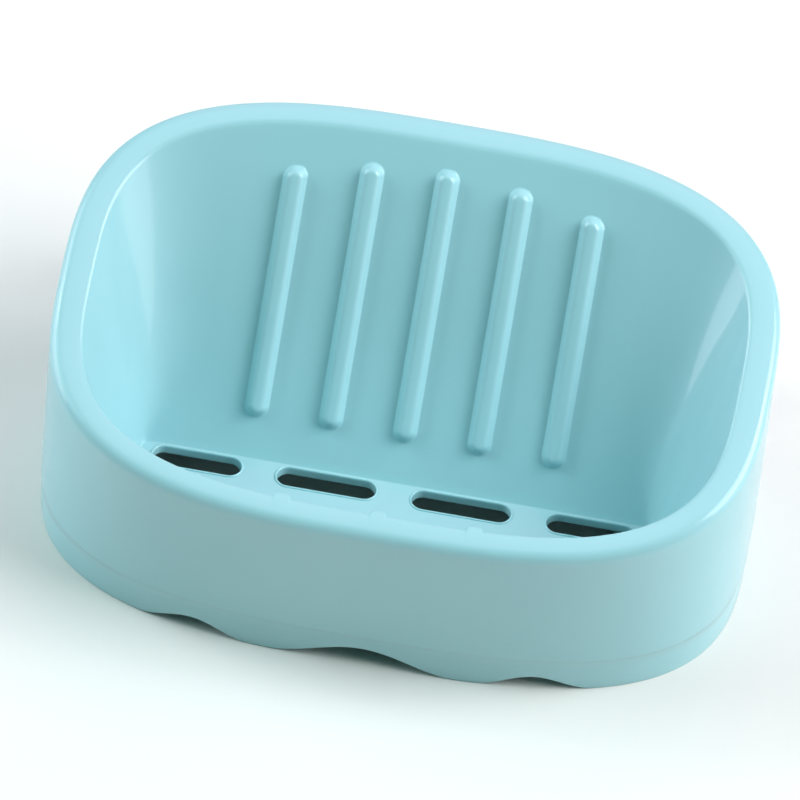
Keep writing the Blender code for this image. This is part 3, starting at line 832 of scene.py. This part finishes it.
def turned(name, profile):
    """Closed object turned about Z from a profile of radius and height, from axis to axis or round."""
    mesh = bmesh.new()
    levels = add_rings(mesh, [circle(radius, height) for radius, height in profile if radius > 0])
    if profile[0][0] == 0:
        join_rings(mesh, levels)
        for ring, height in ((levels[0], profile[0][1]), (levels[-1], profile[-1][1])):
            tip = mesh.verts.new((0, 0, height))
            for k, corner in enumerate(ring):
                mesh.faces.new((corner, ring[(k + 1) % len(ring)], tip))
    else:
        join_rings(mesh, levels + [levels[0]])
    return new_object(name, mesh)


def curve_through(points, steps):
    """Smooth profile through chosen points, by Catmull-Rom pieces."""
    spots = [Vector(point) for point in points]
    spots = [spots[0] * 2 - spots[1]] + spots + [spots[-1] * 2 - spots[-2]]
    found = []
    for a, b, c, d in zip(spots, spots[1:], spots[2:], spots[3:]):
        for k in range(steps):
            s = k / steps
            bend = (a * -1 + b * 3 - c * 3 + d) * s ** 3 + (a * 2 - b * 5 + c * 4 - d) * s ** 2
            found.append(tuple((bend + (c - a) * s) / 2 + b))
    found.append(tuple(spots[-2]))
    return found


def place_fixing(thing, side):
    """Set a fixing's piece on its cup's axis, with its own +Z out from the wall."""
    thing.location = (side * CUP_PLACE, 0, 0)
    thing.rotation_euler = (math.pi / 2, 0, 0)
    return thing


def suction_cup(name, side):
    """Clear cup with a sealing lip, a hollow face and a hub that holds the stud's head."""
    seal = CUP_RADIUS - CUP_SEAL_WIDTH
    shoulder = CUP_LENGTH - HUB_LENGTH
    slope, rise = CUP_RADIUS - HUB_RADIUS, shoulder - CUP_LIP
    hollow = [(seal * far, CUP_HOLLOW * deep) for far, deep in CUP_HOLLOW_SHARES]
    outside = [(CUP_RADIUS - slope * far, CUP_LIP + rise * high) for far, high in CUP_OUTSIDE_SHARES]
    pocket = STUD_HEAD_RADIUS + SEAT_GAP
    hub = [outside[-1], (HUB_RADIUS, CUP_LENGTH), (BORE_RADIUS, CUP_LENGTH), (BORE_RADIUS, POCKET_TOP)]
    profile = curve_through(hollow, CURVE_STEPS)
    profile += [(CUP_RADIUS, 0)]
    profile += curve_through(outside, CURVE_STEPS)[:-1]
    profile += rounded(hub, (HUB_ROUND, HUB_ROUND / 2), CORNER_STEPS)
    profile += [(pocket, POCKET_TOP), (pocket, POCKET_FLOOR), (0, POCKET_FLOOR)]
    return place_fixing(turned(name, profile), side)


def thread_radius(height, turn):
    """Radius of the stud's rounded helical thread, which deepens over its first turn."""
    phase = height / THREAD_PITCH - turn / (2 * math.pi)
    groove = (1 - math.cos(2 * math.pi * phase)) / 2
    fade = min(1, max(0, (height - THREAD_START) / THREAD_PITCH))
    return STUD_RADIUS - THREAD_DEPTH * groove ** THREAD_FULLNESS * fade


def cup_stud(name, side):
    """Stud with a flat head inside the hub and a thread for the nut."""
    thread_end = STUD_END - STUD_TIP_CHAMFER
    head_end = HEAD_START + STUD_HEAD_THICKNESS
    rows = [(STUD_HEAD_RADIUS - HEAD_ROUND, HEAD_START), (STUD_HEAD_RADIUS, HEAD_START + HEAD_ROUND)]
    rows += [(STUD_HEAD_RADIUS, head_end - HEAD_ROUND), (STUD_HEAD_RADIUS - HEAD_ROUND, head_end)]
    rows += [(STUD_RADIUS, head_end)]
    rings = [circle(radius, height) for radius, height in rows]
    count = round((thread_end - THREAD_START) / THREAD_ROW)
    for k in range(count + 1):
        height = THREAD_START + (thread_end - THREAD_START) * k / count
        rings.append(turned_ring(partial(thread_radius, height), height))
    rings.append(circle(STUD_RADIUS - THREAD_DEPTH - STUD_TIP_CHAMFER, STUD_END))
    return place_fixing(capped_rings(name, rings), side)


def nut_washer(name, side):
    """Flat washer with softened edges."""
    middle = (WASHER_START + WASHER_END) / 2
    corners = [(BORE_RADIUS, middle), (BORE_RADIUS, WASHER_START), (WASHER_RADIUS, WASHER_START)]
    corners += [(WASHER_RADIUS, WASHER_END), (BORE_RADIUS, WASHER_END), (BORE_RADIUS, middle)]
    profile = rounded(corners, [WASHER_ROUND] * 4, CORNER_STEPS)
    return place_fixing(turned(name, profile[:-1]), side)


def lobed_radius(radius, lobe, turn):
    """Radius of the nut's lobed rim, which dips by a lobe's depth between the lobes."""
    return radius - lobe * (1 - math.cos(NUT_LOBES * turn)) / 2


def thumb_nut(name, side):
    """Lobed nut with softened edges, a collar against the washer and a recess round its bore."""
    collar_end = NUT_START + NUT_COLLAR_LENGTH
    middle = (NUT_START + NUT_END) / 2
    recess = NUT_END - NUT_RECESS_DEPTH
    corners = (
        (BORE_RADIUS, middle, 0, 0),
        (BORE_RADIUS, NUT_START, 0, NUT_EDGE_ROUND),
        (NUT_COLLAR_RADIUS, NUT_START, 0, NUT_EDGE_ROUND),
        (NUT_COLLAR_RADIUS, collar_end, 0, NUT_EDGE_ROUND),
        (NUT_RADIUS, collar_end, NUT_LOBE, NUT_ROUND),
        (NUT_RADIUS, NUT_END, NUT_LOBE, NUT_ROUND),
        (NUT_RECESS_RADIUS, NUT_END, 0, NUT_EDGE_ROUND),
        (NUT_RECESS_RADIUS, recess, 0, NUT_EDGE_ROUND),
        (NUT_EYE_RADIUS, recess, 0, NUT_EDGE_ROUND),
        (NUT_EYE_RADIUS, NUT_END, 0, NUT_EDGE_ROUND),
        (BORE_RADIUS, NUT_END, 0, NUT_EDGE_ROUND),
        (BORE_RADIUS, middle, 0, 0),
    )
    lobed = [(radius, height, lobe) for radius, height, lobe, _ in corners]
    rounds = [round_radius for _, _, _, round_radius in corners[1:-1]]
    profile = rounded(lobed, rounds, CORNER_STEPS)[:-1]
    rings = [turned_ring(partial(lobed_radius, radius, lobe), height) for radius, height, lobe in profile]
    mesh = bmesh.new()
    levels = add_rings(mesh, rings)
    join_rings(mesh, levels + [levels[0]])
    return place_fixing(new_object(name, mesh), side)


class Finish:
    """A material under construction: a Principled shader and short ways to feed it."""

    def __init__(self, name):
        self.material = bpy.data.materials.new(name)
        self.material.use_nodes = True
        self.nodes = self.material.node_tree.nodes
        self.shader = self.nodes["Principled BSDF"]
        self.place = self.nodes.new("ShaderNodeTexCoord").outputs["Object"]

    def link(self, output, target):
        """Link an output to an input."""
        self.material.node_tree.links.new(output, target)

    def noise(self, scale, detail):
        """Soft noise over the piece."""
        node = self.nodes.new("ShaderNodeTexNoise")
        node.inputs["Scale"].default_value = scale
        node.inputs["Detail"].default_value = detail
        self.link(self.place, node.inputs["Vector"])
        return node.outputs["Fac"]

    def spread(self, value, low, high):
        """A noise's usual range stretched over low to high."""
        node = self.nodes.new("ShaderNodeMapRange")
        node.inputs["From Min"].default_value = NOISE_LOW
        node.inputs["From Max"].default_value = NOISE_HIGH
        node.inputs["To Min"].default_value = low
        node.inputs["To Max"].default_value = high
        self.link(value, node.inputs["Value"])
        return node.outputs["Result"]

    def colour(self, noise, colours):
        """Base colour that drifts between two colours with a noise."""
        share = self.spread(self.noise(*noise), 0, 1)
        node = self.nodes.new("ShaderNodeMix")
        node.data_type = "RGBA"
        self.link(share, node.inputs[MIX_SHARE])
        node.inputs[MIX_FIRST].default_value = (*colours[0], 1)
        node.inputs[MIX_SECOND].default_value = (*colours[1], 1)
        self.feed("Base Color", node.outputs[MIX_RESULT])

    def bump(self, noise, depth, under=None):
        """Relief of a noise, on top of another relief if one is given."""
        node = self.nodes.new("ShaderNodeBump")
        node.inputs["Strength"].default_value = 1
        node.inputs["Distance"].default_value = depth
        self.link(self.noise(*noise), node.inputs["Height"])
        if under is not None:
            self.link(under, node.inputs["Normal"])
        return node.outputs["Normal"]

    def feed(self, name, value):
        """Set one of the shader's inputs to a constant or an output."""
        target = self.shader.inputs[name]
        if isinstance(value, bpy.types.NodeSocket):
            self.link(value, target)
        else:
            target.default_value = value


def dish_plastic():
    """Satin turquoise polypropylene with faint flow marks and a fine moulded grain."""
    finish = Finish("dish_plastic")
    finish.colour(DISH_CLOUD, DISH_COLOURS)
    finish.feed("Roughness", finish.spread(finish.noise(*DISH_SMEAR), *DISH_ROUGHNESS))
    ripple = finish.bump(DISH_RIPPLE, DISH_RIPPLE_DEPTH)
    finish.feed("Normal", finish.bump(DISH_GRAIN, DISH_GRAIN_DEPTH, ripple))
    finish.feed("IOR", DISH_IOR)
    finish.feed("Coat Weight", DISH_COAT)
    finish.feed("Coat Roughness", DISH_COAT_ROUGHNESS)
    return finish.material


def clear_vinyl():
    """Clear soft vinyl, slightly blue in its thickness."""
    finish = Finish("clear_vinyl")
    finish.colour(VINYL_HAZE, VINYL_COLOURS)
    finish.feed("Roughness", finish.spread(finish.noise(*VINYL_SMEAR), *VINYL_ROUGHNESS))
    finish.feed("Normal", finish.bump(VINYL_RIPPLE, VINYL_RIPPLE_DEPTH))
    finish.feed("Transmission Weight", VINYL_TRANSMISSION)
    finish.feed("IOR", VINYL_IOR)
    return finish.material


def nylon(name, colours):
    """Natural nylon, matt, with a faint grain."""
    finish = Finish(name)
    finish.colour(NYLON_CLOUD, colours)
    finish.feed("Roughness", finish.spread(finish.noise(*NYLON_SMEAR), *NYLON_ROUGHNESS))
    finish.feed("Normal", finish.bump(NYLON_GRAIN, NYLON_GRAIN_DEPTH))
    return finish.material


def dress(thing, material, body, nodes):
    """Give a piece its material, tie it to its body and hide the imported part that it replaces."""
    thing.data.materials.clear()
    thing.data.materials.append(material)
    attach(thing, body)
    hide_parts(nodes)


def build():
    """All nine pieces, dressed."""
    dress(dish(), dish_plastic(), "dish", "dish_shell")
    vinyl = clear_vinyl()
    stud_nylon = nylon("stud_nylon", STUD_COLOURS)
    washer_nylon = nylon("washer_nylon", WASHER_COLOURS)
    nut_nylon = nylon("nut_nylon", NUT_COLOURS)
    for side, hand in ((-1, "left"), (1, "right")):
        pieces = (
            (suction_cup(f"vinyl_cup_{hand}", side), vinyl, "wall_fixing", "suction_cup", "cup"),
            (cup_stud(f"threaded_stud_{hand}", side), stud_nylon, "wall_fixing", "cup_stud", "stud"),
            (nut_washer(f"washer_{hand}", side), washer_nylon, f"washer_{hand}", "nut_washer", "washer"),
            (thumb_nut(f"lobed_nut_{hand}", side), nut_nylon, f"nut_{hand}", "thumb_nut", "nut"),
        )
        for thing, material, body, node, slot in pieces:
            smooth(thing)
            dress(thing, material, body, f"{node}_{hand}")


def ground():
    """Plain pale floor under the dish."""
    mesh = bmesh.new()
    bmesh.ops.create_grid(mesh, x_segments=1, y_segments=1, size=GROUND_REACH)
    thing = new_object("ground", mesh)
    thing.location = (DISH_PLACE.x, DISH_PLACE.y, DISH_LOW.z)
    finish = Finish("pale_floor")
    finish.colour(GROUND_CLOUD, GROUND_COLOURS)
    finish.feed("Roughness", GROUND_ROUGHNESS)
    finish.feed("Specular IOR Level", 0)
    thing.data.materials.append(finish.material)


def area_light(name, azimuth, elevation, size, watts, colour):
    """Soft light that looks at the dish from a direction: azimuth 0 is in front, 90 to the right."""
    data = bpy.data.lights.new(name, "AREA")
    data.shape = "DISK"
    data.size = size
    data.energy = watts
    data.color = colour
    turn, lift = math.radians(azimuth), math.radians(elevation)
    out = Vector((math.sin(turn) * math.cos(lift), -math.cos(turn) * math.cos(lift), math.sin(lift)))
    thing = bpy.data.objects.new(name, data)
    bpy.context.scene.collection.objects.link(thing)
    thing.location = DISH_PLACE + out * LIGHT_DISTANCE
    thing.rotation_euler = out.to_track_quat("Z", "Y").to_euler()


def lighting():
    """Dim plain world and soft lights round the dish, after the photograph."""
    world = bpy.data.worlds.new("studio")
    world.use_nodes = True
    background = world.node_tree.nodes["Background"]
    background.inputs["Color"].default_value = (*WORLD_COLOUR, 1)
    background.inputs["Strength"].default_value = WORLD_STRENGTH
    bpy.context.scene.world = world
    for name, azimuth, elevation, size, watts, colour in LIGHTS:
        area_light(name, azimuth, elevation, size, watts, colour)
    bpy.context.scene.view_settings.view_transform = "Standard"


def camera():
    """Camera fitted to the photograph: long lens, from the front and above, slightly rolled."""
    azimuth, elevation = math.radians(CAMERA_AZIMUTH), math.radians(CAMERA_ELEVATION)
    roll = math.radians(CAMERA_ROLL)
    ahead = Vector((
        -math.sin(azimuth) * math.cos(elevation),
        math.cos(azimuth) * math.cos(elevation),
        -math.sin(elevation),
    ))
    level_right = ahead.cross(Vector((0, 0, 1))).normalized()
    level_up = level_right.cross(ahead)
    right = level_right * math.cos(roll) + level_up * math.sin(roll)
    up = level_up * math.cos(roll) - level_right * math.sin(roll)
    target = DISH_PLACE + Vector((0, 0, CAMERA_TARGET_HEIGHT))
    place = target - right * CAMERA_SHIFT_RIGHT - up * CAMERA_SHIFT_UP - ahead * CAMERA_DISTANCE
    turn = Matrix((right, up, -ahead)).transposed().to_4x4()
    data = bpy.data.cameras.new("camera")
    data.sensor_width = CAMERA_SENSOR
    data.lens = CAMERA_LENS
    data.clip_end = CAMERA_REACH
    thing = bpy.data.objects.new("camera", data)
    bpy.context.scene.collection.objects.link(thing)
    thing.matrix_world = Matrix.Translation(place) @ turn
    bpy.context.scene.camera = thing


build()
ground()
lighting()
camera()
